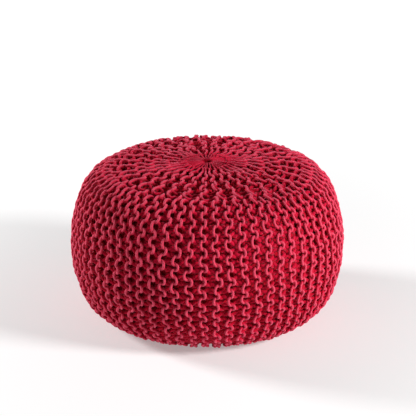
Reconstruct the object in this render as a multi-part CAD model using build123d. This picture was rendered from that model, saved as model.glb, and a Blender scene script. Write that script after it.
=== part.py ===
from build123d import *
import math
import os

# A round knitted floor pouf. A thick cover of cotton cord, knitted sideways and drawn together at
# both ends, holds a sewn cloth bag full of foam beads. The bag is filled through a zip underneath.
# Millimetres, +Z up, origin on the floor under the middle. The cover's joining seam is at +Y.

# Outside of the knitted cover: four tangent arcs from the crown down to the flat foot.
RADIUS = 250.0
HEIGHT = 290.0
WAIST_HEIGHT = 136.0
CROWN_ARC = 1250.0
SHOULDER_ARC = 77.0
SIDE_ARC = RADIUS
FOOT_ARC = 83.0

# Knitted cover and its cords
CORD_DIAMETER = 7.0
COVER_THICKNESS = 19.0
EYELET_RADIUS = 12.2
SEAM_GAP = 7.6
SEAM_END_RADIUS = 13.0
DRAWCORD_DIAMETER = 5.6
DRAWCORD_RING_RADIUS = 9.0
KNOT_RADIUS = 4.0
KNOT_DROP = 2.4
KNOT_OUT = 7.6

# Cloth bag
LINER_DEPTH = 23.5
CLOTH = 1.0
PANEL_GAP = 1.0
THREAD_RADIUS = 0.4
SIDE_PANELS = 4

# Zip in the bag's flat bottom, along X
ZIP_LENGTH = 282.0
TAPE_LENGTH = 300.0
TAPE_WIDTH = 12.6
TAPE_THICKNESS = 0.7
SLIT_HALF_WIDTH = 7.0
TOOTH_PITCH = 3.0
TOOTH_LENGTH = 1.8
TOOTH_INNER = 0.8
TOOTH_OUTER = 3.4
TOOTH_HEIGHT = 2.4
STOP_LENGTH = 3.0
STITCH_WIDTH = 0.8
STITCH_HEIGHT = 0.4
STITCH_LINES = (9.0, 13.5)

# Zip slider: two plates joined by a post, with a bridge and no pull tab
SLIDER_LENGTH = 9.0
SLIDER_HALF_WIDTH = 4.8
SLIDER_CLEARANCE = 0.25
PLATE_THICKNESS = 1.5
FLANGE_WIDTH = 1.05
FLANGE_TO_TAPE = 0.4
POST_LENGTH = 2.4
POST_WIDTH = 0.9
BRIDGE_WIDTH = 2.6
BRIDGE_LENGTH = 6.0
BRIDGE_HEIGHT = 2.0
BRIDGE_THICKNESS = 0.9
SLIDER_STOP_GAP = 0.5

# Bead filling
FILLING_DEPTH = 26.0
GROOVE_HALF_WIDTH = 6.5
GROOVE_HALF_LENGTH = 152.0
GROOVE_TOP = 28.5

# Heights over the floor of the layers at the zip
TAPE_BOTTOM = LINER_DEPTH + CLOTH
TAPE_TOP = TAPE_BOTTOM + TAPE_THICKNESS
TOOTH_MIDDLE = (TAPE_BOTTOM + TAPE_TOP) / 2

FAR = 2 * RADIUS


def profile_arcs():
    """The outside's arcs from the top down, each as centre, radius and the angles of its two ends.

    An angle is that of the surface's normal over the horizontal: 90 at the crown, -90 at the foot."""
    crown = Vector(0, HEIGHT - CROWN_ARC)
    side = Vector(RADIUS - SIDE_ARC, WAIST_HEIGHT)
    foot_out = math.sqrt((SIDE_ARC - FOOT_ARC) ** 2 - (WAIST_HEIGHT - FOOT_ARC) ** 2)
    foot = Vector(side.X + foot_out, FOOT_ARC)
    to_crown = crown - side
    apart = to_crown.length
    from_side, from_crown = SIDE_ARC - SHOULDER_ARC, CROWN_ARC - SHOULDER_ARC
    along = (from_side**2 - from_crown**2 + apart**2) / (2 * apart)
    out = math.sqrt(from_side**2 - along**2)
    direction = to_crown.normalized()
    shoulder = side + direction * along + Vector(-direction.Y, direction.X) * out

    def heading(start, end):
        return math.degrees(math.atan2(end.Y - start.Y, end.X - start.X))

    crown_end = heading(crown, shoulder)
    shoulder_end = heading(side, shoulder)
    side_end = heading(side, foot)
    return [
        (crown, CROWN_ARC, 90.0, crown_end),
        (shoulder, SHOULDER_ARC, crown_end, shoulder_end),
        (side, SIDE_ARC, shoulder_end, side_end),
        (foot, FOOT_ARC, side_end, -90.0),
    ]


ARCS = profile_arcs()
CROWN_END = ARCS[0][3]
FOOT_CENTRE = ARCS[3][0].X


def outline(depth, top=90.0, bottom=-90.0):
    """The outside's arcs moved inwards by depth, between two normal angles, in the plane of X and Y."""
    edges = []
    for centre, radius, high, low in ARCS:
        start, end = min(high, top), max(low, bottom)
        if start > end:
            edges.append(CenterArc(centre, radius - depth, end, start - end))
    return edges


def outline_point(depth, angle):
    """The point of the moved outline where the normal has this angle."""
    for centre, radius, high, low in ARCS:
        if low <= angle <= high:
            turn = math.radians(angle)
            return centre + Vector(math.cos(turn), math.sin(turn)) * (radius - depth)


def revolve_section(edges):
    """The closed outline, drawn with X as radius and Y as height, turned once round the Z axis from
    the +Y side, where the cover's slit is."""
    return Rot(0, 0, 90) * revolve(Plane.XZ * make_face(edges), Axis.Z)


def shell(depth, thickness, top, bottom):
    """A turned skin of even thickness between two normal angles of the profile."""
    ends = [
        Line(outline_point(depth, angle), outline_point(depth + thickness, angle))
        for angle in (top, bottom)
    ]
    return revolve_section(outline(depth, top, bottom) + outline(depth + thickness, top, bottom) + ends)


def turned_solid(depth):
    """The whole body inside the outside by depth, with its flat bottom."""
    foot_edge = Vector(FOOT_CENTRE, depth)
    axis_bottom = Vector(0, depth)
    axis_top = Vector(0, HEIGHT - depth)
    return revolve_section(outline(depth) + [Line(foot_edge, axis_bottom), Line(axis_bottom, axis_top)])


def box(x_range, y_range, z_range):
    """A box between two values on each axis."""
    size = [high - low for low, high in (x_range, y_range, z_range)]
    middle = [(high + low) / 2 for low, high in (x_range, y_range, z_range)]
    return Pos(*middle) * Box(*size)


def both_sides(inner, outer, side):
    """A range across Y at one side of the zip: side is -1 in front and 1 behind."""
    return (inner, outer) if side > 0 else (-outer, -inner)


def knitted_cover():
    """Thick shell with an eyelet at each end and an open slit where its two edges meet at +Y."""
    cover = turned_solid(0) - turned_solid(COVER_THICKNESS)
    cover -= Pos(0, 0, HEIGHT / 2) * Cylinder(EYELET_RADIUS, 2 * HEIGHT)
    return cover - box((-SEAM_GAP / 2, SEAM_GAP / 2), (0, FAR), (-FAR, FAR))


def meridian_tube(depth, radius, top, bottom, flat_to=None):
    """A cord along the profile at a depth, in the plane of X and Z. flat_to carries it on under the
    foot to that distance from the axis."""
    edges = outline(depth, top, bottom)
    if flat_to is not None:
        edges.append(Line(Vector(FOOT_CENTRE, depth), Vector(flat_to, depth)))
    path = Plane.XZ * Wire(edges)
    turn = math.radians(top)
    start = outline_point(depth, top)
    section = Plane(
        origin=(start.X, 0, start.Y),
        x_dir=(0, 1, 0),
        z_dir=(math.sin(turn), 0, -math.cos(turn)),
    )
    tube = sweep(section * Circle(radius), path=path)
    straight_volume = math.pi * radius**2 * path.length
    share = tube.volume / straight_volume
    print(f"cord of {path.length:.0f} mm, volume over section times length {share:.4f}")
    return tube


def cover_seam_cord():
    """The cord that laces the cover's two edges together, from one eyelet to the other."""
    depth = COVER_THICKNESS / 2
    top = 90 - math.degrees(SEAM_END_RADIUS / (CROWN_ARC - depth))
    return Rot(0, 0, 90) * meridian_tube(depth, CORD_DIAMETER / 2, top, -90, SEAM_END_RADIUS)


def drawcord(up):
    """Ring of cord through the cover's end loops. Its knot lies in front of the axis, on the side
    of the ring towards the inside of the pouf."""
    ring = Torus(DRAWCORD_RING_RADIUS, DRAWCORD_DIAMETER / 2)
    knot = Pos(0, -KNOT_OUT, -up * KNOT_DROP) * Sphere(KNOT_RADIUS)
    middle = HEIGHT - COVER_THICKNESS / 2 if up > 0 else COVER_THICKNESS / 2
    return Pos(0, 0, middle) * (ring + knot)


def panel_edges(angle):
    """The two normal angles, half a panel gap each side of a seam. An angle's arc length depends on
    which arc it lies in."""
    crown_step = math.degrees(PANEL_GAP / 2 / (CROWN_ARC - LINER_DEPTH))
    shoulder_step = math.degrees(PANEL_GAP / 2 / (SHOULDER_ARC - LINER_DEPTH - CLOTH))
    return angle + crown_step, angle - shoulder_step


def liner_top_panel():
    """The round top of the bag."""
    depths = (LINER_DEPTH, LINER_DEPTH + CLOTH)
    rim_angle = panel_edges(CROWN_END)[0]
    section = outline(depths[0], 90, rim_angle) + outline(depths[1], 90, rim_angle)
    rim = [outline_point(depth, rim_angle) for depth in depths]
    middle = [Vector(0, HEIGHT - depth) for depth in depths]
    return revolve_section(section + [Line(*rim), Line(*middle)])


def foot_panel_edge():
    """The normal angle at which the side panels stop, half a panel gap from the flat bottom."""
    return -90 + math.degrees(PANEL_GAP / 2 / (FOOT_ARC - LINER_DEPTH - CLOTH))


def liner_side_panels():
    """The bag's side, cut into equal panels with a seam between each two."""
    band = shell(LINER_DEPTH, CLOTH, panel_edges(CROWN_END)[1], foot_panel_edge())
    slot = box((0, FAR), (-PANEL_GAP / 2, PANEL_GAP / 2), (-FAR, FAR))
    for number in range(SIDE_PANELS):
        band -= Rot(0, 0, seam_angle(number)) * slot
    return sorted(band.solids(), key=lambda panel: math.atan2(panel.center().Y, panel.center().X))


def seam_angle(number):
    """Where a side seam stands, in degrees round the axis."""
    return 360 / SIDE_PANELS * (number + 0.5)


def liner_bottom_halves():
    """The bag's flat bottom in front of and behind the zip."""
    disc = Pos(0, 0, LINER_DEPTH + CLOTH / 2) * Cylinder(FOOT_CENTRE - PANEL_GAP / 2, CLOTH)
    half_tape = TAPE_LENGTH / 2
    levels = (LINER_DEPTH - CLOTH, LINER_DEPTH + 2 * CLOTH)
    disc -= box((-half_tape, half_tape), (-SLIT_HALF_WIDTH, SLIT_HALF_WIDTH), levels)
    disc -= box((-FAR, FAR), (-PANEL_GAP / 2, PANEL_GAP / 2), levels)
    return sorted(disc.solids(), key=lambda half: half.center().Y)


def seam_ring(ring_radius, height):
    """A round seam's thread."""
    return Pos(0, 0, height) * Torus(ring_radius, THREAD_RADIUS)


def liner_side_seams():
    """The threads of the side seams, clear of the two round seams."""
    clear = 2 * PANEL_GAP
    top = CROWN_END - math.degrees(clear / (SHOULDER_ARC - LINER_DEPTH))
    bottom = -90 + math.degrees(clear / (FOOT_ARC - LINER_DEPTH))
    thread = meridian_tube(LINER_DEPTH + CLOTH / 2, THREAD_RADIUS, top, bottom)
    return [Rot(0, 0, seam_angle(number)) * thread for number in range(SIDE_PANELS)]


def zip_tape(side):
    """The woven tape on one side, lying on the cloth inside the bag."""
    half = TAPE_LENGTH / 2
    across = both_sides(TOOTH_OUTER, TOOTH_OUTER + TAPE_WIDTH, side)
    return box((-half, half), across, (TAPE_BOTTOM, TAPE_TOP))


def tooth(x, length, side):
    """One tooth, or a stop of the same section, on the edge of a tape."""
    across = both_sides(TOOTH_INNER, TOOTH_OUTER, side)
    levels = (TOOTH_MIDDLE - TOOTH_HEIGHT / 2, TOOTH_MIDDLE + TOOTH_HEIGHT / 2)
    return box((x - length / 2, x + length / 2), across, levels)


def zip_teeth(side):
    """The row of teeth on one tape. The back row is half a pitch along from the front one."""
    count = int((ZIP_LENGTH - 2 * STOP_LENGTH) / TOOTH_PITCH) - 1
    first = -(count - 1) / 2 * TOOTH_PITCH + side * TOOTH_PITCH / 4
    return [tooth(first + number * TOOTH_PITCH, TOOTH_LENGTH, side) for number in range(count)]


def zip_top_stops():
    """A stop on each tape at the closed end."""
    return [tooth(-ZIP_LENGTH / 2 + STOP_LENGTH / 2, STOP_LENGTH, side) for side in (-1, 1)]


def zip_bottom_stop():
    """The one stop across both tapes at the other end."""
    end = ZIP_LENGTH / 2
    levels = (TOOTH_MIDDLE - TOOTH_HEIGHT / 2, TOOTH_MIDDLE + TOOTH_HEIGHT / 2)
    return box((end - STOP_LENGTH, end), (-TOOTH_OUTER, TOOTH_OUTER), levels)


def zip_stitching():
    """Two rows of stitches on each side, under the cloth that they fasten to the tape."""
    half = TAPE_LENGTH / 2 - PANEL_GAP
    rows = []
    for side in (-1, 1):
        for line in STITCH_LINES:
            across = both_sides(line - STITCH_WIDTH / 2, line + STITCH_WIDTH / 2, side)
            rows.append(box((-half, half), across, (LINER_DEPTH - STITCH_HEIGHT, LINER_DEPTH)))
    return rows


def zip_slider():
    """The slider at the closed end, against the top stops."""
    tooth_bottom, tooth_top = TOOTH_MIDDLE - TOOTH_HEIGHT / 2, TOOTH_MIDDLE + TOOTH_HEIGHT / 2
    half, width = SLIDER_LENGTH / 2, SLIDER_HALF_WIDTH
    low, high = tooth_bottom - SLIDER_CLEARANCE, tooth_top + SLIDER_CLEARANCE
    low_plate = box((-half, half), (-width, width), (low - PLATE_THICKNESS, low))
    high_plate = box((-half, half), (-width, width), (high, high + PLATE_THICKNESS))
    plates = fillet(low_plate.edges() | Axis.Z, FLANGE_WIDTH)
    plates += fillet(high_plate.edges() | Axis.Z, FLANGE_WIDTH)
    for side in (-1, 1):
        edge = both_sides(width - FLANGE_WIDTH, width, side)
        straight = half - FLANGE_WIDTH
        plates += box((-straight, straight), edge, (low, TAPE_BOTTOM - FLANGE_TO_TAPE))
        plates += box((-straight, straight), edge, (TAPE_TOP + FLANGE_TO_TAPE, high))
    front_end = half - FLANGE_WIDTH
    post_across = (-POST_WIDTH / 2, POST_WIDTH / 2)
    post = box((front_end - POST_LENGTH, front_end), post_across, (low, high))
    under = low - PLATE_THICKNESS
    bridge_along = (-BRIDGE_LENGTH / 2, BRIDGE_LENGTH / 2)
    bridge_across = (-BRIDGE_WIDTH / 2, BRIDGE_WIDTH / 2)
    bridge = box(bridge_along, bridge_across, (under - BRIDGE_HEIGHT, under))
    opening = BRIDGE_LENGTH / 2 - BRIDGE_THICKNESS
    floor = under - BRIDGE_HEIGHT + BRIDGE_THICKNESS
    bridge -= box((-opening, opening), (-BRIDGE_WIDTH, BRIDGE_WIDTH), (floor, under))
    closed_end = -ZIP_LENGTH / 2 + STOP_LENGTH + SLIDER_STOP_GAP + half
    return Pos(closed_end, 0, 0) * (plates + post + bridge)


def bead_filling():
    """The heap of foam beads as one solid, with a groove that leaves room for the slider."""
    along = (-GROOVE_HALF_LENGTH, GROOVE_HALF_LENGTH)
    across = (-GROOVE_HALF_WIDTH, GROOVE_HALF_WIDTH)
    groove = box(along, across, (0, GROOVE_TOP))
    return turned_solid(FILLING_DEPTH) - groove


def build():
    """Every node of the pouf by name. A list of solids is a group in one node."""
    seam_radius = outline_point(LINER_DEPTH + CLOTH / 2, CROWN_END)
    parts = {
        "knitted_cover": knitted_cover(),
        "cover_seam_cord": cover_seam_cord(),
        "top_drawcord": drawcord(1),
        "bottom_drawcord": drawcord(-1),
        "liner_top_panel": liner_top_panel(),
        "liner_top_seam": seam_ring(seam_radius.X, seam_radius.Y),
        "liner_bottom_seam": seam_ring(FOOT_CENTRE, LINER_DEPTH + CLOTH / 2),
        "liner_side_seams": liner_side_seams(),
        "zip_tape_front": zip_tape(-1),
        "zip_tape_back": zip_tape(1),
        "zip_teeth_front": zip_teeth(-1),
        "zip_teeth_back": zip_teeth(1),
        "zip_top_stops": zip_top_stops(),
        "zip_bottom_stop": zip_bottom_stop(),
        "zip_stitching": zip_stitching(),
        "zip_slider": zip_slider(),
        "bead_filling": bead_filling(),
    }
    for number, panel in enumerate(liner_side_panels(), start=1):
        parts[f"liner_side_panel_{number}"] = panel
    for name, half in zip(("front", "back"), liner_bottom_halves()):
        parts[f"liner_bottom_{name}"] = half
    return parts


def main():
    os.makedirs("parts", exist_ok=True)
    travel = ZIP_LENGTH - 2 * STOP_LENGTH - SLIDER_LENGTH - 2 * SLIDER_STOP_GAP
    print(f"slider travel {travel:.1f} mm, flat foot radius {FOOT_CENTRE:.1f} mm")
    for name, shape in build().items():
        solid = Compound(children=shape) if isinstance(shape, list) else shape
        export_step(solid, f"parts/{name}.step")


main()
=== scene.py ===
import math

import bpy
import numpy as np
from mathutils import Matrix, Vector


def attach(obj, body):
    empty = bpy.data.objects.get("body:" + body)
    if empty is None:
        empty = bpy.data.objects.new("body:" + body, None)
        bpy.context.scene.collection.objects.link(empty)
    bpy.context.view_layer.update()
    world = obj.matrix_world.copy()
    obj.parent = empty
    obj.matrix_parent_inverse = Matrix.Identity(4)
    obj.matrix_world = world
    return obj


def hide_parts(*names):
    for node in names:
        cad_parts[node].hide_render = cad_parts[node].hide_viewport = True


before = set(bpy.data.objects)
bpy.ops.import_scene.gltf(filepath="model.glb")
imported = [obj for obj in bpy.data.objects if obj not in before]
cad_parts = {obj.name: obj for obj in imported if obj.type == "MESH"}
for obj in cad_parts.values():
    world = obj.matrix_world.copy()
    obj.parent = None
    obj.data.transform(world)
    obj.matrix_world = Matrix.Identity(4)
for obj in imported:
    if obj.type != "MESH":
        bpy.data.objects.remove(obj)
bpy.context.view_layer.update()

# A hand-knitted round floor pouf: its cord cover, the zipped bag of beads in it, and a studio.
# All lengths are in metres and all angles in radians, unless said otherwise.
SEED = 7
rng = np.random.default_rng(SEED)

# ---------------------------------------------------------------- outside of the cover
RADIUS = 0.250
HEIGHT = 0.290
WAIST_HEIGHT = 0.136
CROWN_ARC = 1.250
SHOULDER_ARC = 0.077
FOOT_ARC = 0.083
COVER_THICKNESS = 0.019
MIDDLE_DEPTH = COVER_THICKNESS / 2
ARC_STEPS = 1500  # points along each arc of the outline

# ---------------------------------------------------------------- the knitting
WEDGES = 33
ROWS = 4 * WEDGES
ROW_ANGLE = 2 * math.pi / ROWS
FIRST_RIDGE = math.pi / 2  # the joining seam stands at +Y
CROOKED = 0.0026  # how far the rows are pushed sideways across the back of the top
FRONT_TURN = 0.0496  # how far the rows in front are pulled round from even spacing
GORES = 11
CORD_RADIUS = 0.0034
FRONT_RADIUS = 0.0025  # where the cord is stretched over the top of a ridge
RELIEF = MIDDLE_DEPTH - FRONT_RADIUS  # how far the ridges' cord stands before the cover's middle
BACK_RELIEF = 0.0048  # and behind it, where the full bag presses it flatter
VALLEY_FILL = 0.0018  # how much shallower the valleys are on the shoulder
STITCH_STEPS = 22  # points along one stitch
SIDES = 10  # points round the cord
LOOP_HEIGHT = 0.92  # how far a loop reaches across, in rows
LEAN_FRONT = 0.145  # how much wider a loop is at its head than at its foot, in stitches
LEAN_BACK = 0.238
HEAD_NARROWING = 0.045
CROSSING_SHARPNESS = 4
CROSSING_LEVEL = 0.54
EDGE = 0.038  # distance from the axis of the last legs before the drawcord
FORK = 0.150  # distance from the pole where the short rows end
DRAWCORD_RING = 0.0119
DRAWCORD_RADIUS = 0.0022
KNOT_RADIUS = 0.0016  # of its ends, wound tight
LOOP_RADIUS = 0.0014  # the cord of the end loops, pulled thin by the drawcord
RING_DEPTH = 0.0052  # of the drawcord, inwards from the drawn-in middle of the outside
DIMPLE = 0.0020  # how far the middle of the top is drawn in
DIMPLE_WIDTH = 0.026
BOTTOM_DIMPLE = 0.6  # how much of that the middle of the bottom is drawn in
LOOP_REACH = 0.016  # how strongly an end loop keeps its direction on the way to the drawcord
TOP_TURN_REACH = 0.029  # the same for the turns at the end of the short rows
BOTTOM_TURN_REACH = 0.026
SEAM_OVERRUN = 8  # points that the lacing runs on past the first row down

# How far the knitting strays from an even one.
STRAY_ALONG = 0.0011
STRAY_ACROSS = 0.0010
STRAY_DEPTH = 0.0006
WANDER = 0.0022  # in wide, slow waves across the rows
LOOP_UNEVEN = 0.07  # as a share of a loop's height
END_LIFT = 0.0036  # how much higher the cord lies round the drawn-in middle


def profile_table():
    """Radius, height and outward normal of the outside at even steps from the crown to the floor's
    middle, found from the same tangent arcs as the CAD model's."""
    crown = np.array([0, HEIGHT - CROWN_ARC])
    side = np.array([0.0, WAIST_HEIGHT])
    foot_out = math.sqrt((RADIUS - FOOT_ARC) ** 2 - (WAIST_HEIGHT - FOOT_ARC) ** 2)
    foot = np.array([foot_out, FOOT_ARC])
    apart = crown - side
    distance = np.hypot(*apart)
    from_side, from_crown = RADIUS - SHOULDER_ARC, CROWN_ARC - SHOULDER_ARC
    along = (from_side**2 - from_crown**2 + distance**2) / (2 * distance)
    out = math.sqrt(from_side**2 - along**2)
    direction = apart / distance
    shoulder = side + direction * along + np.array([-direction[1], direction[0]]) * out
    crown_end = math.atan2(*(shoulder - crown)[::-1])
    shoulder_end = math.atan2(*(shoulder - side)[::-1])
    side_end = math.atan2(*(foot - side)[::-1])
    arcs = (
        (crown, CROWN_ARC, math.pi / 2, crown_end),
        (shoulder, SHOULDER_ARC, crown_end, shoulder_end),
        (side, RADIUS, shoulder_end, side_end),
        (foot, FOOT_ARC, side_end, -math.pi / 2),
    )
    columns = []
    for centre, radius, high, low in arcs:
        angle = np.linspace(high, low, ARC_STEPS)
        normal = np.stack([np.cos(angle), np.sin(angle)], 1)
        columns.append(np.hstack([centre + normal * radius, normal]))
    flat = np.linspace(foot_out, 0, 500)
    columns.append(np.stack([flat, 0 * flat, 0 * flat, 0 * flat - 1], 1))
    table = np.vstack(columns)
    step = np.hypot(*np.diff(table[:, :2], axis=0).T)
    arc = np.concatenate([[0], np.cumsum(step)])
    return arc, table


ARC, PROFILE = profile_table()
ARC_LENGTH = ARC[-1]


def outside(s):
    """Radius, height, radial and upward part of the normal at an arc length from the crown."""
    return [np.interp(s, ARC, PROFILE[:, column]) for column in range(4)]


def smooth(x, low, high):
    """0 below low, 1 above high, and a smooth step between them."""
    x = np.clip((x - low) / (high - low), 0, 1)
    return x * x * (3 - 2 * x)


# ---------------------------------------------------------------- stitches along the cover
def stitch_table():
    """How many stitches lie between the crown and each arc length."""
    width = np.interp(
        ARC,
        [0, 0.175, 0.26, 0.36, 0.44, 0.57, 0.65, ARC_LENGTH],
        [0.0315, 0.0300, 0.0265, 0.0240, 0.0205, 0.0205, 0.027, 0.030],
    )
    count = np.concatenate([[0], np.cumsum(np.diff(ARC) / (width[1:] + width[:-1]) * 2)])
    count -= np.interp(EDGE, ARC, count)
    total = np.interp(ARC_LENGTH - EDGE, ARC, count)
    return 0.75 + count * round(total) / total


STITCH = stitch_table()
TOP_EDGE = 0.75
BOTTOM_EDGE = float(np.round(np.interp(ARC_LENGTH - EDGE, ARC, STITCH) - 0.75) + 0.75)


def stitch_at(s):
    return float(np.interp(s, ARC, STITCH))


def arc_at(m):
    return np.interp(m, STITCH, ARC)


def phase_near(s, phase):
    """The stitch count nearest an arc length that is a whole number plus phase."""
    return round(stitch_at(s) - phase) + phase


TOP_TURN_IN = phase_near(FORK - 0.003, 0.75)
TOP_TURN_OUT = TOP_TURN_IN + 0.5
BOTTOM_FORK = ARC_LENGTH - FORK
BOTTOM_TURN_OUT = phase_near(BOTTOM_FORK + 0.003, 0.25)
BOTTOM_TURN_IN = BOTTOM_TURN_OUT - 0.5


# ---------------------------------------------------------------- unevenness of hand knitting
def wave_field(waves, most_round, most_along):
    """A smooth random field over azimuth and arc length, of unit strength."""
    around = rng.integers(-most_round, most_round + 1, waves)
    along = rng.uniform(-most_along, most_along, waves)
    phase = rng.uniform(0, 2 * math.pi, waves)
    size = rng.normal(size=waves)
    size /= math.sqrt(np.sum(size**2) / 2)

    def field(azimuth, s):
        total = np.zeros_like(azimuth)
        for n, k, p, a in zip(around, along, phase, size):
            total += a * np.cos(n * azimuth + 2 * math.pi * k * s + p)
        return total

    return field


wander = wave_field(16, 9, 11)
wobble_across = wave_field(36, 40, 26)
wobble_along = wave_field(36, 40, 26)
wobble_depth = wave_field(36, 36, 24)
loop_size = wave_field(36, 50, 30)
bunches = rng.uniform(-0.30, 0.30, WEDGES)


def bunched(azimuth):
    """How far the end loops at an azimuth are pushed sideways against their neighbours, in radians."""
    wedge = (azimuth - FIRST_RIDGE) / (4 * ROW_ANGLE)
    return np.interp(wedge, np.arange(WEDGES) - 0.125, bunches, period=WEDGES) * 4 * ROW_ANGLE


def crooked(azimuth, s):
    """Where the rows lie more crooked than elsewhere: across the back of the top, 1 at most."""
    return smooth(s, 0.06, 0.10) * (1 - smooth(s, 0.24, 0.28)) * smooth(np.sin(azimuth), 0.1, 0.8)


# ---------------------------------------------------------------- one row of stitches
def through_top(s):
    return 1 - smooth(s, 0.132, 0.172)


def through_bottom(s):
    return smooth(s, BOTTOM_FORK - 0.020, BOTTOM_FORK + 0.018)


def pinched(s):
    """Grows to 1 towards the middle, where the two cords of each end loop are pulled together."""
    return 1 - smooth(s, EDGE, EDGE + 0.035)


# The short rows end at the forks, and the other rows spread to fill their place. These say how far
# each of a wedge's four rows moves across, in rows, and by what share its loops grow or shrink.
PINCH = 0.9  # how much of that move is undone again at the drawcords
TOP_SHIFT = (-0.5, 0.5, 0.25, -0.25)
TOP_GROW = (0.96, 0.96, -0.38, -0.38)
BOTTOM_SHIFT = (-0.25, -0.5, 0.5, 0.25)
BOTTOM_GROW = (-0.38, 0.87, 0.87, -0.38)


def dive(share):
    """How far forward a cord stands for its share of the way to the top of its loop. It keeps low
    on the legs and comes up steeply, so that crossing cords clear each other."""
    power, level = share**CROSSING_SHARPNESS, CROSSING_LEVEL**CROSSING_SHARPNESS
    steep = power * (1 + level) / (power + level)
    return 0.35 * share + 0.65 * steep


def row_path(row, m):
    """Arc length, row units across and height over the cover's middle along one row."""
    kind = row % 4
    facing = 1 if kind in (1, 3) else -1
    turn = 2 * math.pi * m
    s = arc_at(m)
    top, bottom = through_top(s), through_bottom(s)
    centre = row + TOP_SHIFT[kind] * top + BOTTOM_SHIFT[kind] * bottom
    undone = TOP_SHIFT[kind] * pinched(s) + BOTTOM_SHIFT[kind] * pinched(ARC_LENGTH - s)
    centre = centre - PINCH * undone
    height = LOOP_HEIGHT * (1 + TOP_GROW[kind] * top + BOTTOM_GROW[kind] * bottom)
    width = np.gradient(s) / np.gradient(m)
    azimuth = centre * ROW_ANGLE
    uneven = 1 + LOOP_UNEVEN * loop_size(azimuth, s)
    across = centre + height * uneven * np.cos(turn)
    wave = np.cos(turn)
    front = facing * wave
    in_front = 0.5 + 0.5 * np.clip(front / 0.63, -1, 1)
    lean = LEAN_BACK + (LEAN_FRONT - LEAN_BACK) * in_front
    along = s + width * (lean * np.sin(2 * turn) - HEAD_NARROWING * in_front * np.sin(turn))
    ahead = RELIEF * (1 - 0.55 * (1 - smooth(s, 0.042, 0.080)))
    behind = BACK_RELIEF + 0.0012 * top
    rise = np.where(front > 0, ahead, -behind) * dive(np.abs(front))
    filled = VALLEY_FILL * smooth(s, 0.13, 0.17) * (1 - smooth(s, 0.27, 0.33))
    rise = rise + filled * (1 - smooth(rise, -0.001, RELIEF))
    return np.stack([along, across, rise], 1)


def place(path):
    """Points of arc length, row units and height as points of space, with the cover's unevenness.
    The fourth number of each is how far it lies in front of the cover's middle."""
    s, across, height_over_middle = path.T
    azimuth = FIRST_RIDGE + across * ROW_ANGLE - ROW_ANGLE
    azimuth = azimuth - FRONT_TURN * (1 - np.sin(azimuth)) / 2
    radius, _, _, _ = outside(s)
    calm = smooth(radius, 0.015, 0.060)
    s = s + calm * STRAY_ALONG * wobble_along(azimuth, s)
    lift = END_LIFT * (1 - smooth(radius, 0.034, 0.060))
    rise = height_over_middle + calm * STRAY_DEPTH * wobble_depth(azimuth, s) + lift
    radius, height, out, up = outside(s)
    wobble = wobble_across(azimuth, s)
    sideways = calm * (STRAY_ACROSS * wobble + WANDER * wander(azimuth, s))
    sideways = sideways + CROOKED * crooked(azimuth, s) * wobble
    drawn_in = 1 - smooth(radius, 0.030, 0.062)
    azimuth = azimuth + sideways / np.maximum(radius, 0.03) + drawn_in * bunched(azimuth)
    inward = MIDDLE_DEPTH - rise
    r = radius - out * inward
    z = height - up * inward
    top = np.exp(-((r / DIMPLE_WIDTH) ** 2)) * DIMPLE
    z = z - np.where(up > 0.5, top, 0) + np.where(up < -0.5, BOTTOM_DIMPLE * top, 0)
    z = np.maximum(z, CORD_RADIUS)
    return np.stack([r * np.cos(azimuth), r * np.sin(azimuth), z, height_over_middle], 1)


def samples(start, end):
    return np.linspace(start, end, int(round(abs(end - start) * STITCH_STEPS)) + 1)


def hermite(start, start_slope, end, end_slope, count):
    """Points strictly between two ends, leaving and arriving along the given slopes."""
    q = np.linspace(0, 1, count + 2)[1:-1, None]
    return (
        start * (2 * q**3 - 3 * q**2 + 1)
        + start_slope * (q**3 - 2 * q**2 + q)
        + end * (3 * q**2 - 2 * q**3)
        + end_slope * (q**3 - q**2)
    )


def turning_loop(before, after, reach):
    """The cord's turn at the end of a short row, between two rows of points in space."""
    leave = before[-1] - before[-2]
    arrive = after[1] - after[0]
    leave *= reach / np.linalg.norm(leave[:3])
    arrive *= reach / np.linalg.norm(arrive[:3])
    return hermite(before[-1], leave, after[0], arrive, 11)


def ring_height(up):
    """Height of the drawcord's ring at the top or at the bottom."""
    return HEIGHT - RING_DEPTH - DIMPLE if up > 0 else RING_DEPTH + BOTTOM_DIMPLE * DIMPLE


def drawn_loop(before, after, azimuth, up):
    """The turn at a drawn-in end: over the drawcord, round its inner side and back under it."""
    middle = ring_height(up)
    reach = DRAWCORD_RADIUS + LOOP_RADIUS
    azimuth = azimuth + float(bunched(np.array(azimuth)))
    outward = np.array([math.cos(azimuth), math.sin(azimuth), 0, 0])
    ring = outward * DRAWCORD_RING + np.array([0, 0, middle, 0])
    turn = np.linspace(math.pi * 0.42, math.pi * 1.58, 12)
    upward = np.array([0, 0, up, 0])
    hook = ring + np.outer(reach * np.cos(turn), outward) + np.outer(reach * np.sin(turn), upward)
    hook[:, 3] = 0.0035 * np.sin(turn) - 0.0015
    leave = before[-1] - before[-2]
    arrive = after[1] - after[0]
    leave *= LOOP_REACH / np.linalg.norm(leave[:3])
    arrive *= LOOP_REACH / np.linalg.norm(arrive[:3])
    first = hermite(before[-1], leave, hook[0], -outward * LOOP_REACH, 12)
    last = hermite(hook[-1], outward * LOOP_REACH, after[0], arrive, 12)
    return np.vstack([first, hook, last])


def wedge_rows(wedge):
    """The four rows that one wedge adds, in the order in which the cord runs through them."""
    first = 4 * wedge
    down = place(row_path(first + 1, samples(TOP_EDGE, BOTTOM_EDGE)))
    back = place(row_path(first + 2, samples(BOTTOM_EDGE, TOP_TURN_IN)))
    short = place(row_path(first + 3, samples(TOP_TURN_OUT, BOTTOM_TURN_OUT)))
    home = place(row_path(first + 4, samples(BOTTOM_TURN_IN, TOP_EDGE)))
    return down, back, short, home


def azimuth_of_row(row):
    return FIRST_RIDGE + (row - 1) * ROW_ANGLE


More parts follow.
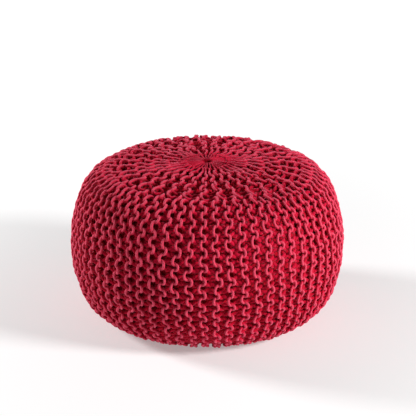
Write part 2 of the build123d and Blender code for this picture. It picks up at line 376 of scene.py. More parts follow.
def all_paths():
    """The cord of the seam, and that of each gore of the cover, as rows of points. The seam is the
    first row down, from its end loop at the top to a little past the one at the bottom."""
    rows = [wedge_rows(wedge) for wedge in range(WEDGES)]
    paths = []
    for gore in range(GORES):
        chain = []
        for wedge in range(3 * gore, 3 * gore + 3):
            down, back, short, home = rows[wedge]
            before = rows[wedge - 1][3]
            chain.append(drawn_loop(before, down, azimuth_of_row(4 * wedge + 0.5), 1))
            chain.append(down)
            seam_end = sum(len(part) for part in chain)
            chain.append(drawn_loop(down, back, azimuth_of_row(4 * wedge + 1.5), -1))
            chain.append(back)
            chain.append(turning_loop(back, short, TOP_TURN_REACH))
            chain.append(short)
            chain.append(turning_loop(short, home, BOTTOM_TURN_REACH))
            chain.append(home)
            if wedge == 0:
                seam = np.vstack(chain)
                chain = [seam[seam_end + SEAM_OVERRUN + 1 :]]
                seam = seam[: seam_end + SEAM_OVERRUN]
        paths.append(np.vstack(chain))
    return seam, paths


# ---------------------------------------------------------------- a cord as a mesh
def thin_out(path):
    """Drops points that nearly coincide with the one before."""
    step = np.linalg.norm(np.diff(path[:, :3], axis=0), axis=1)
    return path[np.concatenate([[True], step > 2e-4])]


def frames_along(path):
    """Two directions across a path at each of its points, turning as little as possible."""
    tangent = np.gradient(path, axis=0)
    tangent /= np.linalg.norm(tangent, axis=1)[:, None]
    across = np.zeros_like(path)
    first = np.cross(tangent[0], [0.3, 0.5, 0.8])
    across[0] = first / np.linalg.norm(first)
    for i in range(len(path) - 1):
        v = path[i + 1] - path[i]
        size = v @ v
        reflected = across[i] - v * (2 / size * (v @ across[i]))
        turned = tangent[i] - v * (2 / size * (v @ tangent[i]))
        w = tangent[i + 1] - turned
        size = w @ w
        across[i + 1] = reflected - w * (2 / size * (w @ reflected)) if size > 1e-16 else reflected
    return across, np.cross(tangent, across)


def mesh_object(name, points, quads, caps, layers):
    """A smooth mesh from points, four-sided faces, end faces and UV layers given per face corner."""
    mesh = bpy.data.meshes.new(name)
    corners = np.concatenate([quads.ravel()] + [np.array(cap) for cap in caps]).astype(np.int32)
    sizes = np.array([4] * len(quads) + [len(cap) for cap in caps], np.int32)
    mesh.vertices.add(len(points))
    mesh.vertices.foreach_set("co", np.ascontiguousarray(points, np.float32).ravel())
    mesh.loops.add(len(corners))
    mesh.loops.foreach_set("vertex_index", corners)
    mesh.polygons.add(len(sizes))
    starts = np.concatenate([[0], np.cumsum(sizes)[:-1]]).astype(np.int32)
    mesh.polygons.foreach_set("loop_start", starts)
    mesh.polygons.foreach_set("use_smooth", np.ones(len(sizes), bool))
    mesh.update(calc_edges=True)
    for layer_name, uv in layers.items():
        layer = mesh.uv_layers.new(name=layer_name)
        full = np.zeros((len(corners), 2), np.float32)
        full[: len(uv)] = uv
        layer.data.foreach_set("uv", full.ravel())
    mesh.validate()
    obj = bpy.data.objects.new(name, mesh)
    bpy.context.scene.collection.objects.link(obj)
    return obj


def knitted_radius(rise, distance):
    """The cord's radius: thinner over the ridges, and much thinner where the cover is drawn in."""
    radius = CORD_RADIUS + (FRONT_RADIUS - CORD_RADIUS) * smooth(rise, 0, 0.7 * RELIEF)
    open_share = 0.62 * smooth(distance, 0.010, 0.052) + 0.38 * smooth(distance, 0.060, 0.165)
    return LOOP_RADIUS + (radius - LOOP_RADIUS) * open_share


def outward_at(points):
    """The direction out of the pouf at points of its cover."""
    distance = np.hypot(points[:, 0], points[:, 1])
    inner = np.stack([np.minimum(distance, 0.16), np.full(len(points), HEIGHT / 2)], 1)
    away = np.stack([distance, points[:, 2]], 1) - inner
    away /= np.linalg.norm(away, axis=1)[:, None]
    share = points[:, :2] / np.maximum(distance, 1e-4)[:, None]
    return np.hstack([share * away[:, :1], away[:, 1:]])


def squeezed(ring, path, radius):
    """The points round the cord, pressed together sideways by its neighbours inside the fork."""
    distance = np.hypot(path[:, 0], path[:, 1])
    spacing = 2 * math.pi * distance / WEDGES
    share = 0.62 - 0.24 * smooth(distance, 0.012, 0.028) + 0.15 * smooth(distance, 0.04, 0.07)
    keep = np.clip(share * spacing / (2 * radius), 0.12, 1)
    keep = np.where(distance < FORK, keep, 1)
    around = np.stack([-path[:, 1], path[:, 0], 0 * distance], 1) / np.maximum(distance, 1e-4)[:, None]
    sideways = np.einsum("ijk,ik->ij", ring, around)
    return ring + ((keep[:, None] - 1) * sideways)[:, :, None] * around[:, None]


def exposure(rise, ring, path, radius):
    """How far out each point of the cord's surface lies: 0 at the back of the knitting, about 1.4 on
    top of a ridge. It sets where the cord's colour turns to painted shade and to painted highlight."""
    share = (rise + BACK_RELIEF) / (RELIEF + BACK_RELIEF)
    return share[:, None] + 0.40 * np.einsum("ijk,ik->ij", ring, outward_at(path)) / radius[:, None]


def cord_object(name, path, radius=None, sides=SIDES):
    """A round cord along a path, of even radius or as it lies in the knitting. Where the cover is
    drawn in, its cord is also squeezed sideways."""
    knitted = radius is None
    path = thin_out(path)
    rise = path[:, 3] if knitted else None
    path = path[:, :3]
    count = len(path)
    first, second = frames_along(path)
    length = np.concatenate([[0], np.cumsum(np.linalg.norm(np.diff(path, axis=0), axis=1))])
    if knitted:
        radius = knitted_radius(rise, np.hypot(path[:, 0], path[:, 1]))
    radius = np.broadcast_to(radius, (count,))
    angle = np.arange(sides) * 2 * math.pi / sides
    ring = first[:, None] * np.cos(angle)[None, :, None] + second[:, None] * np.sin(angle)[None, :, None]
    ring = ring * radius[:, None, None]
    if knitted:
        ring = squeezed(ring, path, radius)
    points = (path[:, None] + ring).reshape(-1, 3)
    i = np.arange(count - 1)[:, None]
    j = np.arange(sides)[None, :]
    after = (j + 1) % sides
    quads = np.stack([i * sides + j, i * sides + after, (i + 1) * sides + after, (i + 1) * sides + j], 2)
    corner_i = np.stack([i + 0 * j, i + 0 * j, i + 1 + 0 * j, i + 1 + 0 * j], 2).reshape(-1)
    corner_j = np.stack([j + 0 * i, j + 1 + 0 * i, j + 1 + 0 * i, j + 0 * i], 2).reshape(-1)
    yarn = np.stack([length[corner_i], corner_j / sides], 1)
    # Cords outside the knitting get a fixed low value, so they take the painted-shade colour all over.
    exposed = exposure(rise, ring, path, radius) if knitted else np.full((count, sides), 0.15)
    relief = np.stack([exposed[corner_i, corner_j % sides], 0 * corner_j], 1)
    strips = max(1, int(round(math.sqrt(length[-1] / (2 * math.pi * radius.max())))))
    per_strip = math.ceil((count - 1) / strips)
    face_i = np.repeat(np.arange(count - 1), sides * 4)
    strip = face_i // per_strip
    bake = np.stack(
        [
            (corner_i - strip * per_strip) / per_strip,
            (strip + 0.04 + 0.92 * corner_j / sides) / strips,
        ],
        1,
    )
    caps = [list(range(sides))[::-1], [(count - 1) * sides + k for k in range(sides)]]
    layers = {"yarn": yarn, "OFBake": bake, "relief": relief}
    obj = mesh_object(name, points, quads.reshape(-1, 4), caps, layers)
    obj["cord_length"] = float(length[-1])
    return obj


# ---------------------------------------------------------------- materials
def node(tree, kind, inputs=None, **settings):
    """A shader node with its settings and unlinked inputs."""
    made = tree.nodes.new(kind)
    for key, value in settings.items():
        setattr(made, key, value)
    for key, value in (inputs or {}).items():
        if hasattr(value, "is_output"):
            tree.links.new(value, made.inputs[key])
        else:
            made.inputs[key].default_value = value
    return made


def maths(tree, operation, a, b=None):
    made = node(tree, "ShaderNodeMath", {0: a}, operation=operation)
    if b is not None:
        if hasattr(b, "is_output"):
            tree.links.new(b, made.inputs[1])
        else:
            made.inputs[1].default_value = b
    return made.outputs[0]


def new_material(name):
    material = bpy.data.materials.new(name)
    material.use_nodes = True
    tree = material.node_tree
    return material, tree, tree.nodes["Principled BSDF"]


def ramp(tree, value, stops):
    made = node(tree, "ShaderNodeValToRGB", {"Fac": value})
    elements = made.color_ramp.elements
    while len(elements) < len(stops):
        elements.new(0.5)
    for element, (position, colour) in zip(elements, stops):
        element.position = position
        element.color = (*colour, 1)
    return made.outputs["Color"]


def turned_to(tree, colour, other, value, start, end):
    """A colour that turns into another one as the value goes from start to end."""
    limits = {"Value": value, "From Min": start, "From Max": end}
    share = node(tree, "ShaderNodeMapRange", limits).outputs[0]
    mix = node(tree, "ShaderNodeMix", {"Factor": share, 6: colour, 7: (*other, 1)}, data_type="RGBA")
    return mix.outputs[2]


STRANDS = 4  # of the braided cord, each way round
STRAND_PITCH = 0.0052


def cotton_cord_material(name, dark, light, deep, painted_highlight):
    """Matt braided cotton: strands crossing over each other, with painted shade in the grooves between
    them, soft fibres and slight shade changes. Its colour turns to a darker, more saturated painted
    shade towards the back of the knitting, and to a paler, pinker painted highlight on top of the
    ridges."""
    material, tree, shader = new_material(name)
    uv = node(tree, "ShaderNodeUVMap", uv_map="yarn").outputs[0]
    parts = node(tree, "ShaderNodeSeparateXYZ", {0: uv}).outputs
    length = maths(tree, "MULTIPLY", parts[0], 2 * math.pi / STRAND_PITCH)
    around = maths(tree, "MULTIPLY", parts[1], 2 * math.pi * STRANDS)
    left = maths(tree, "SINE", maths(tree, "ADD", length, around))
    right = maths(tree, "SINE", maths(tree, "SUBTRACT", length, around))
    braid = maths(tree, "MAXIMUM", left, right)
    position = node(tree, "ShaderNodeTexCoord").outputs["Object"]
    fibres = node(
        tree, "ShaderNodeTexNoise", {"Vector": position, "Scale": 900, "Detail": 3, "Roughness": 0.6}
    ).outputs["Fac"]
    shade = node(
        tree, "ShaderNodeTexNoise", {"Vector": position, "Scale": 14, "Detail": 4, "Roughness": 0.6}
    ).outputs["Fac"]
    # Painted shade: the colour is slightly darker in the grooves between the braid's strands, which the
    # bump below also draws.
    weave = maths(tree, "MULTIPLY_ADD", braid, 0.25)
    weave.node.inputs[2].default_value = 0.5
    weave = maths(tree, "MULTIPLY", weave, 0.35)
    shade = maths(tree, "MULTIPLY", shade, 0.65)
    mixed = maths(tree, "ADD", weave, shade)
    colour = ramp(tree, mixed, [(0.22, dark), (0.70, light)])
    # Painted shade and painted highlight: by how far out each point of the cord lies, its colour turns
    # darker and more saturated towards the back of the knitting, and paler and pinker on top of the
    # ridges.
    relief_uv = node(tree, "ShaderNodeUVMap", uv_map="relief").outputs[0]
    relief = node(tree, "ShaderNodeSeparateXYZ", {0: relief_uv}).outputs[0]
    colour = turned_to(tree, colour, deep, relief, 0.90, 0.28)
    colour = turned_to(tree, colour, painted_highlight, relief, 0.88, 1.34)
    tree.links.new(colour, shader.inputs["Base Color"])
    height = maths(tree, "ADD", braid, maths(tree, "MULTIPLY", fibres, 0.8))
    bump = node(tree, "ShaderNodeBump", {"Height": height, "Strength": 0.4, "Distance": 0.0005})
    tree.links.new(bump.outputs[0], shader.inputs["Normal"])
    shader.inputs["Roughness"].default_value = 0.72
    shader.inputs["Specular IOR Level"].default_value = 0.05
    shader.inputs["Sheen Weight"].default_value = 0.30
    shader.inputs["Sheen Roughness"].default_value = 0.45
    shader.inputs["Sheen Tint"].default_value = (1.0, 0.58, 0.74, 1)
    return material


def cloth_material(name, dark, light, thread_pitch):
    """Plain-woven cloth: two sets of threads over and under each other, with slight shade changes."""
    material, tree, shader = new_material(name)
    uv = node(tree, "ShaderNodeUVMap", uv_map="cloth").outputs[0]
    parts = node(tree, "ShaderNodeSeparateXYZ", {0: uv}).outputs
    turn = math.pi / thread_pitch
    warp = maths(tree, "SINE", maths(tree, "MULTIPLY", parts[0], turn))
    weft = maths(tree, "SINE", maths(tree, "MULTIPLY", parts[1], turn))
    weave = maths(tree, "MULTIPLY", warp, weft)
    position = node(tree, "ShaderNodeTexCoord").outputs["Object"]
    shade = node(
        tree, "ShaderNodeTexNoise", {"Vector": position, "Scale": 25, "Detail": 5, "Roughness": 0.6}
    ).outputs["Fac"]
    mixed = maths(tree, "ADD", maths(tree, "MULTIPLY", weave, 0.12), shade)
    tree.links.new(ramp(tree, mixed, [(0.35, dark), (0.65, light)]), shader.inputs["Base Color"])
    bump = node(tree, "ShaderNodeBump", {"Height": weave, "Strength": 0.4, "Distance": 0.0003})
    tree.links.new(bump.outputs[0], shader.inputs["Normal"])
    shader.inputs["Roughness"].default_value = 0.85
    shader.inputs["Specular IOR Level"].default_value = 0.12
    shader.inputs["Sheen Weight"].default_value = 0.05
    return material


def thread_material(name, colour):
    """Twisted polyester thread with a slight shine."""
    material, tree, shader = new_material(name)
    position = node(tree, "ShaderNodeTexCoord").outputs["Object"]
    twist = node(
        tree, "ShaderNodeTexNoise", {"Vector": position, "Scale": 1800, "Detail": 2}
    ).outputs["Fac"]
    darker = tuple(0.6 * part for part in colour)
    tree.links.new(ramp(tree, twist, [(0.35, darker), (0.65, colour)]), shader.inputs["Base Color"])
    bump = node(tree, "ShaderNodeBump", {"Height": twist, "Strength": 0.5, "Distance": 0.0002})
    tree.links.new(bump.outputs[0], shader.inputs["Normal"])
    shader.inputs["Roughness"].default_value = 0.5
    return material


def tape_material(name, dark, light):
    """Woven zip tape: a fine rib along it and a herringbone across."""
    material, tree, shader = new_material(name)
    position = node(tree, "ShaderNodeTexCoord").outputs["Object"]
    parts = node(tree, "ShaderNodeSeparateXYZ", {0: position}).outputs
    along = maths(tree, "MULTIPLY", parts[0], 2 * math.pi / 0.0012)
    zigzag = maths(tree, "PINGPONG", parts[1], 0.0016)
    across = maths(tree, "MULTIPLY", zigzag, 2 * math.pi / 0.0011)
    rib = maths(tree, "SINE", maths(tree, "ADD", along, across))
    half = maths(tree, "MULTIPLY_ADD", rib, 0.5)
    half.node.inputs[2].default_value = 0.5
    tree.links.new(ramp(tree, half, [(0.2, dark), (0.8, light)]), shader.inputs["Base Color"])
    bump = node(tree, "ShaderNodeBump", {"Height": half, "Strength": 0.5, "Distance": 0.0002})
    tree.links.new(bump.outputs[0], shader.inputs["Normal"])
    shader.inputs["Roughness"].default_value = 0.8
    return material


def hard_material(name, dark, light, roughness, metallic, scale):
    """Plastic or metal with faint marks in its colour, roughness and surface."""
    material, tree, shader = new_material(name)
    position = node(tree, "ShaderNodeTexCoord").outputs["Object"]
    marks = node(
        tree, "ShaderNodeTexNoise", {"Vector": position, "Scale": scale, "Detail": 5, "Roughness": 0.65}
    ).outputs["Fac"]
    tree.links.new(ramp(tree, marks, [(0.3, dark), (0.7, light)]), shader.inputs["Base Color"])
    rough = maths(tree, "MULTIPLY_ADD", marks, 0.25)
    rough.node.inputs[2].default_value = roughness - 0.12
    tree.links.new(rough, shader.inputs["Roughness"])
    bump = node(tree, "ShaderNodeBump", {"Height": marks, "Strength": 0.25, "Distance": 0.0001})
    tree.links.new(bump.outputs[0], shader.inputs["Normal"])
    shader.inputs["Metallic"].default_value = metallic
    return material


def bead_material(name):
    """Loose white foam beads, 4.5 mm wide, each a round bump with painted shade, in grey, in the gap
    round it.
    """
    dark, light, bead = (0.55, 0.55, 0.54), (0.93, 0.93, 0.91), 0.0045
    material, tree, shader = new_material(name)
    position = node(tree, "ShaderNodeTexCoord").outputs["Object"]
    cells = node(tree, "ShaderNodeTexVoronoi", {"Vector": position, "Scale": 1 / bead})
    distance = cells.outputs["Distance"]
    # Painted shade: each bead turns grey towards its edge, in the gaps between the beads.
    tree.links.new(ramp(tree, distance, [(0.35, light), (0.75, dark)]), shader.inputs["Base Color"])
    height = maths(tree, "MULTIPLY", distance, -1)
    bump = node(tree, "ShaderNodeBump", {"Height": height, "Strength": 1, "Distance": 0.002})
    tree.links.new(bump.outputs[0], shader.inputs["Normal"])
    shader.inputs["Roughness"].default_value = 0.6
    return material


# ---------------------------------------------------------------- cloth, threads and filling
BAG_DEPTH = 0.0163  # of the full bag, pressed against the back of the knitting
FLOOR_DEPTH = 0.0235  # of its flat bottom, above the floor
CLOTH = 0.0009
HEAP_DEPTH = 0.0022  # of the beads below the bag's outer face
HEAP_FLOOR = 0.0262  # height of their flat underside
CROWN_END = float(ARC[ARC_STEPS - 1])  # the seam round the top panel
FOOT_END = float(ARC[4 * ARC_STEPS - 1])  # the seam round the flat bottom
FOOT_RADIUS = float(PROFILE[4 * ARC_STEPS - 1, 0])
SEAM_HALF_GAP = 0.0006
SEAM_STITCH = 0.003  # how far its stitches reach over a seam
SLIT_HALF_WIDTH = 0.007
SLIT_HALF_LENGTH = 0.150

creases = wave_field(40, 24, 14)
dents = wave_field(60, 60, 40)


def bag_depth(s):
    deeper = 0.0012 * through_top(s)
    towards_floor = smooth(s, FOOT_END - 0.075, FOOT_END - 0.002)
    return BAG_DEPTH + deeper + (FLOOR_DEPTH - BAG_DEPTH) * towards_floor


def bag_point(s, azimuth, extra=0.0):
    """Points of the bag's outer face, or deeper inside by extra, with its creases."""
    near_seam = np.exp(-(((s - CROWN_END) / 0.012) ** 2))
    slack = 0.0006 * creases(azimuth, s) + 0.0003 * dents(azimuth, s)
    slack = slack * smooth(FOOT_END - s, 0.0, 0.05) * smooth(s, 0.0, 0.03)
    inward = bag_depth(s) + slack + 0.0008 * near_seam + extra
    radius, height, out, up = outside(s)
    r, z = radius - out * inward, height - up * inward
    return np.stack([r * np.cos(azimuth), r * np.sin(azimuth), z], -1)


def skin_object(name, outer, inner, metres, wrap):
    """A closed mesh from a grid of outer points and one of inner points. Rows run from the top down
    and columns anticlockwise; wrap joins the last column to the first."""
    rows, columns = outer.shape[:2]
    index = np.arange(rows * columns).reshape(rows, columns)
    if wrap:
        index = np.hstack([index, index[:, :1]])
    a, b, c, d = index[:-1, :-1], index[1:, :-1], index[1:, 1:], index[:-1, 1:]
    faces = [np.stack([a, b, c, d], 2).reshape(-1, 4)]
    points = [outer.reshape(-1, 3)]
    caps = []
    if inner is None:
        caps = [list(index[0, : columns]), list(index[-1, : columns][::-1])]
    else:
        deep = rows * columns
        points.append(inner.reshape(-1, 3))
        faces.append(faces[0][:, ::-1] + deep)
        rims = [index[0], index[-1, ::-1]]
        if not wrap:
            rims += [index[::-1, 0], index[:, -1]]
        for rim in rims:
            faces.append(np.stack([rim[:-1], rim[1:], rim[1:] + deep, rim[:-1] + deep], 1))
    quads = np.concatenate(faces)
    flat = metres.reshape(-1, 2)
    flat = flat if inner is None else np.concatenate([flat, flat])
    return mesh_object(name, np.concatenate(points), quads, caps, {"cloth": flat[quads.ravel()]})


def dress(obj, body, slot, material, *nodes):
    """Gives a piece its material and the body that it rides on, and hides the nodes it stands in for.
    Its slot is not used.
    """
    obj.data.materials.append(material)
    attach(obj, body)
    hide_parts(*nodes)


def bag_panel(name, s_values, azimuths, wrap, material, node_name):
    """One cut panel of the bag between two arc lengths and two azimuths."""
    s, azimuth = np.meshgrid(s_values, azimuths, indexing="ij")
    outer = bag_point(s, azimuth)
    inner = bag_point(s, azimuth, CLOTH)
    middle = (azimuths[0] + azimuths[-1]) / 2
    metres = np.stack([(azimuth - middle) * outside(s)[0], s], -1)
    panel = skin_object(name, outer, inner, metres, wrap)
    dress(panel, "pouf", "liner_cloth", material, node_name)


def bottom_half(name, side, material, node_name):
    """The bag's flat bottom on one side of the zip, cut round the zip's slit."""
    reach = FOOT_RADIUS - SEAM_HALF_GAP
    x = reach * np.sin(np.linspace(-1, 1, 141) * math.pi / 2 * 0.985)
    inner_edge = np.where(np.abs(x) < SLIT_HALF_LENGTH, SLIT_HALF_WIDTH, SEAM_HALF_GAP)
    outer_edge = np.maximum(np.sqrt(reach**2 - x**2), inner_edge + 0.0005)
    share = np.linspace(0, 1, 40)[:, None]
    y = side * (inner_edge + share * (outer_edge - inner_edge))
    x = x + 0 * share
    near_edge = np.minimum(smooth(np.abs(y), 0.020, 0.045), smooth(reach - np.hypot(x, y), 0.0, 0.02))
    slack = 0.0007 * near_edge * creases(8 * x, 3 * y)
    outer = np.stack([x, y, FLOOR_DEPTH + slack], -1)
    inner = outer + np.array([0, 0, CLOTH])
    if side < 0:
        outer, inner = outer[:, ::-1], inner[:, ::-1]
    half = skin_object(name, outer, inner, outer[..., :2], False)
    dress(half, "pouf", "liner_cloth", material, node_name)


def stitches(name, starts, ends, normals, radius, bow):
    """Short threads from each start to its end, bowed up along the normals."""
    sides, rings = 6, 5
    t = np.linspace(-1, 1, rings)
    middle, half = (starts + ends) / 2, (ends - starts) / 2
    along = half / np.linalg.norm(half, axis=1)[:, None]
    across = np.cross(along, normals)
    line = middle[:, None] + half[:, None] * t[:, None] + normals[:, None] * (bow * (1 - t**2))[:, None]
    angle = np.arange(sides) * 2 * math.pi / sides
    thick = radius * np.sqrt(1.15 - t**2)
    ring = across[:, None] * np.cos(angle)[:, None] + normals[:, None] * np.sin(angle)[:, None]
    points = line[:, :, None] + ring[:, None] * thick[:, None, None]
    stitch = np.arange(len(starts))[:, None, None] * rings * sides
    i, j = np.arange(rings - 1)[:, None], np.arange(sides)[None, :]
    after = (j + 1) % sides
    one = np.stack([i * sides + j, i * sides + after, (i + 1) * sides + after, (i + 1) * sides + j], 2)
    quads = (stitch + one.reshape(1, -1, 4)).reshape(-1, 4)
    base = np.arange(len(starts)) * rings * sides
    caps = [list(b + np.arange(sides)[::-1]) for b in base]
    caps += [list(b + (rings - 1) * sides + np.arange(sides)) for b in base]
    return mesh_object(name, points.reshape(-1, 3), quads, caps, {})


def seam_stitches(name, s, azimuth, across_s, material, node_name):
    """Overcast stitches across a seam of the bag, through points given by arc length and azimuth."""
    radius = outside(s)[0]
    half, lean = SEAM_STITCH / 2, SEAM_STITCH * 0.35
    if across_s:
        starts = bag_point(s - half, azimuth - lean / radius)
        ends = bag_point(s + half, azimuth + lean / radius)
    else:
        starts = bag_point(s - lean, azimuth - half / radius)
        ends = bag_point(s + lean, azimuth + half / radius)
    _, _, out, up = outside(s)
    normals = np.stack([out * np.cos(azimuth), out * np.sin(azimuth), up], -1)
    line = stitches(name, starts, ends, normals, 0.00035, 0.0005)
    dress(line, "pouf", "sewing_thread", material, node_name)


def bead_heap(name, material):
    """The foam beads inside the bag, with a groove under them for the zip's slider."""
    s_values = np.linspace(0.0006, ARC_LENGTH - 0.0006, 230)
    azimuths = np.arange(300) * 2 * math.pi / 300
    s, azimuth = np.meshgrid(s_values, azimuths, indexing="ij")
    depth = HEAP_DEPTH + 0.0003 * smooth(s, FOOT_END - 0.07, FOOT_END)
    lumps = np.abs(dents(azimuth, s)) * 0.0005
    points = bag_point(s, azimuth, depth + lumps)
    under = s > FOOT_END - 0.004
    x, y = points[..., 0], points[..., 1]
    groove = under * (1 - smooth(np.abs(y), 0.0065, 0.012)) * (1 - smooth(np.abs(x), 0.150, 0.156))
    points[..., 2] = np.where(under, HEAP_FLOOR + 0.0025 * groove + lumps * 0.5, points[..., 2])
    heap = skin_object(name, points, None, np.stack([azimuth, s], -1), True)
    dress(heap, "pouf", "foam_beads", material, "bead_filling")


# ---------------------------------------------------------------- drawcords
def drawcord_objects(name, up, material, node_name):
    """A ring through the end loops. Its two ends go inwards and are wound round each other there."""
    middle = ring_height(up)
    gap = 0.30  # on each side of the place where its ends turn inwards
    angle = np.linspace(-math.pi / 2 + gap, 1.5 * math.pi - gap, 90)
    across, front = np.cos(angle) * DRAWCORD_RING, np.sin(angle) * DRAWCORD_RING
    ring = np.stack([across, front, middle + 0 * angle], 1)
    turn = np.linspace(0, 5.2 * math.pi, 60)
    share = np.linspace(-1, 1, 60)
    half_length, place_in_front, below, coil = 0.0034, -0.0088, 0.0052, 0.0019
    front, depth = place_in_front + coil * np.cos(turn), below - coil * np.sin(turn)
    wound = np.stack([share * half_length, front, middle - up * depth], 1)
    for obj in (
        cord_object(f"{name}_ring", ring, DRAWCORD_RADIUS, 12),
        cord_object(f"{name}_knot", wound, KNOT_RADIUS, 10),
    ):
        dress(obj, "pouf", "cotton_cord", material, node_name)


# ---------------------------------------------------------------- the whole pouf
def knitted_cover():
    """The cover's gores, its seam's lacing and its drawcords."""
    seam_path, gore_paths = all_paths()
    # The fourth colour is a painted shade for the back of the knitting, and the fifth a painted
    # highlight for the tops of the ridges.
    cotton = cotton_cord_material(
        "cotton_cord_crimson",
        dark=(0.40, 0.002, 0.024),
        light=(0.60, 0.006, 0.044),
        deep=(0.44, 0.0003, 0.014),
        painted_highlight=(0.69, 0.072, 0.128),
    )
    total_length = 0
    for number, path in enumerate(gore_paths, start=1):
        gore = cord_object(f"knit_gore_{number:02d}", path)
        dress(gore, "pouf", "cotton_cord", cotton, "knitted_cover")
        total_length += gore["cord_length"]
    seam = cord_object("cover_seam_lacing", seam_path)
    dress(seam, "pouf", "cotton_cord", cotton, "cover_seam_cord")
    print(f"cord in the cover {total_length:.1f} m, in its seam {seam['cord_length']:.2f} m")
    drawcord_objects("top_drawcord", 1, cotton, "top_drawcord")
    drawcord_objects("bottom_drawcord", -1, cotton, "bottom_drawcord")


def bag():
    """The bag's seven panels: a round top, four sides, and two halves of the bottom."""
    cloth = cloth_material("liner_cloth_crimson", (0.42, 0.001, 0.015), (0.54, 0.0015, 0.022), 0.0007)
    top_edge, side_edge = CROWN_END - SEAM_HALF_GAP, CROWN_END + SEAM_HALF_GAP
    azimuths = np.arange(144) * 2 * math.pi / 144
    bag_panel("liner_top", np.linspace(0.0008, top_edge, 46), azimuths, True, cloth, "liner_top_panel")
    down = np.linspace(side_edge, FOOT_END - SEAM_HALF_GAP, 70)
    half = math.pi / 4 - SEAM_HALF_GAP / 0.2
    for number in range(4):
        middle = math.pi / 2 * number - math.pi
        across = np.linspace(middle - half, middle + half, 64)
        name = f"liner_side_{number + 1}"
        bag_panel(name, down, across, False, cloth, f"liner_side_panel_{number + 1}")
    bottom_half("liner_bottom_front_half", -1, cloth, "liner_bottom_front")
    bottom_half("liner_bottom_back_half", 1, cloth, "liner_bottom_back")


def bag_stitching():
    """The threads of the bag's seams, and those that hold the zip's tapes."""
    thread = thread_material("sewing_thread_crimson", (0.48, 0.012, 0.046))
    azimuths = np.arange(260) * 2 * math.pi / 260
    for name, s, node_name in (
        ("liner_top_seam_stitches", CROWN_END, "liner_top_seam"),
        ("liner_bottom_seam_stitches", FOOT_END, "liner_bottom_seam"),
    ):
        seam_stitches(name, 0 * azimuths + s, azimuths, True, thread, node_name)
    down = np.linspace(CROWN_END + 0.005, FOOT_END - 0.005, 75)
    corners = [math.radians(45 + 90 * number) for number in range(4)]
    s, azimuth = np.tile(down, 4), np.repeat(corners, len(down))
    seam_stitches("liner_side_seam_stitches", s, azimuth, False, thread, "liner_side_seams")
    x, y = np.meshgrid(np.arange(-0.148, 0.148, 0.0034), [-0.0135, -0.009, 0.009, 0.0135])
    starts = np.stack([x.ravel(), y.ravel(), 0 * x.ravel() + FLOOR_DEPTH - 0.0001], 1)
    down = np.tile([0, 0, -1.0], (len(starts), 1))
    tape = stitches("zip_tape_stitches", starts, starts + [0.0026, 0, 0], down, 0.00030, 0.0002)
    dress(tape, "pouf", "sewing_thread", thread, "zip_stitching")


def zip_materials():
    """The zip's CAD parts are shown as they are, each in its own material."""
    tape = tape_material("zip_tape_crimson", (0.20, 0.005, 0.020), (0.32, 0.010, 0.036))
    dark, light = (0.30, 0.010, 0.035), (0.40, 0.016, 0.050)
    teeth = hard_material("zip_teeth_crimson", dark, light, roughness=0.35, metallic=0.0, scale=700)
    dark, light = (0.50, 0.50, 0.51), (0.68, 0.68, 0.69)
    metal = hard_material("zip_metal_nickel", dark, light, roughness=0.36, metallic=1.0, scale=900)
    shown = {
        "zip_tape_front": ("zip_tape", tape),
        "zip_tape_back": ("zip_tape", tape),
        "zip_teeth_front": ("zip_teeth", teeth),
        "zip_teeth_back": ("zip_teeth", teeth),
        "zip_top_stops": ("zip_teeth", teeth),
        "zip_bottom_stop": ("zip_teeth", teeth),
        "zip_slider": ("zip_metal", metal),
    }
    for name, (slot, material) in shown.items():
        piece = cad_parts[name]
        piece.data.materials.clear()
        piece.data.materials.append(material)


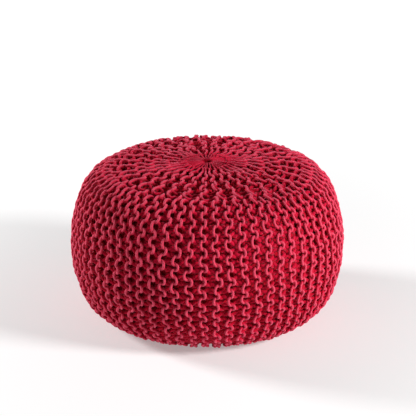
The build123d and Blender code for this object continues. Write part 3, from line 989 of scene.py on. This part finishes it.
# ---------------------------------------------------------------- floor, light and camera
def studio_floor():
    """A wide white floor, which glows more and more away from the pouf, as an overexposed one does."""
    mesh = bpy.data.meshes.new("floor")
    reach = 12.0
    corners = [(-reach, -reach, 0), (reach, -reach, 0), (reach, reach, 0), (-reach, reach, 0)]
    mesh.from_pydata(corners, [], [(0, 1, 2, 3)])
    floor = bpy.data.objects.new("floor", mesh)
    bpy.context.scene.collection.objects.link(floor)
    material, tree, shader = new_material("floor_white")
    shader.inputs["Base Color"].default_value = (0.66, 0.66, 0.66, 1)
    shader.inputs["Roughness"].default_value = 0.9
    shader.inputs["Emission Color"].default_value = (1, 1, 1, 1)
    position = node(tree, "ShaderNodeTexCoord").outputs["Object"]
    distance = node(tree, "ShaderNodeVectorMath", {0: position}, operation="LENGTH").outputs["Value"]
    limits = {"Value": distance, "From Min": 0.3, "From Max": 2.0, "To Min": 0.33, "To Max": 0.75}
    glow = node(tree, "ShaderNodeMapRange", limits, interpolation_type="SMOOTHSTEP")
    tree.links.new(glow.outputs[0], shader.inputs["Emission Strength"])
    mesh.materials.append(material)


def studio_light(name, azimuth, elevation, power):
    """A round lamp turned to the pouf, by angles in degrees and power in watts. Azimuth 0 is in
    front of it and 90 on its right."""
    around, up = math.radians(azimuth), math.radians(elevation)
    side, front = math.sin(around) * math.cos(up), -math.cos(around) * math.cos(up)
    distance, size, aim = 3.3, 0.9, 0.14
    location = Vector((side * distance, front * distance, math.sin(up) * distance + aim))
    lamp = bpy.data.lights.new(name, "AREA")
    lamp.shape = "DISK"
    lamp.size = size
    lamp.energy = power
    obj = bpy.data.objects.new(name, lamp)
    obj.location = location
    obj.rotation_euler = (Vector((0, 0, aim)) - location).to_track_quat("-Z", "Y").to_euler()
    bpy.context.scene.collection.objects.link(obj)


def studio_world():
    world = bpy.data.worlds.new("studio")
    bpy.context.scene.world = world
    world.use_nodes = True
    background = world.node_tree.nodes["Background"]
    background.inputs["Color"].default_value = (1, 1, 1, 1)
    background.inputs["Strength"].default_value = 0.125
    bpy.context.scene.view_settings.view_transform = "Standard"
    bpy.context.scene.view_settings.gamma = 0.943


def studio_camera():
    """A long lens, 3 m from the pouf and 22 degrees above its middle."""
    elevation, distance = math.radians(22), 3.0
    aimed_up, turned = math.radians(0.9076), math.radians(-0.028)
    lens = bpy.data.cameras.new("camera")
    lens.lens = 141.5
    lens.sensor_width = 36
    camera = bpy.data.objects.new("camera", lens)
    offset = Vector((0, -math.cos(elevation), math.sin(elevation))) * distance
    camera.location = Vector((0, 0, HEIGHT / 2)) + offset
    camera.rotation_euler = (math.pi / 2 - elevation + aimed_up, 0, turned)
    bpy.context.scene.collection.objects.link(camera)
    bpy.context.scene.camera = camera


# ---------------------------------------------------------------- build
knitted_cover()
bag()
bag_stitching()
bead_heap("bead_heap", bead_material("foam_beads_white"))
zip_materials()
studio_floor()
studio_light("key_light", 65, 25, 120)
studio_light("rim_light", -110, 20, 114)
studio_world()
studio_camera()
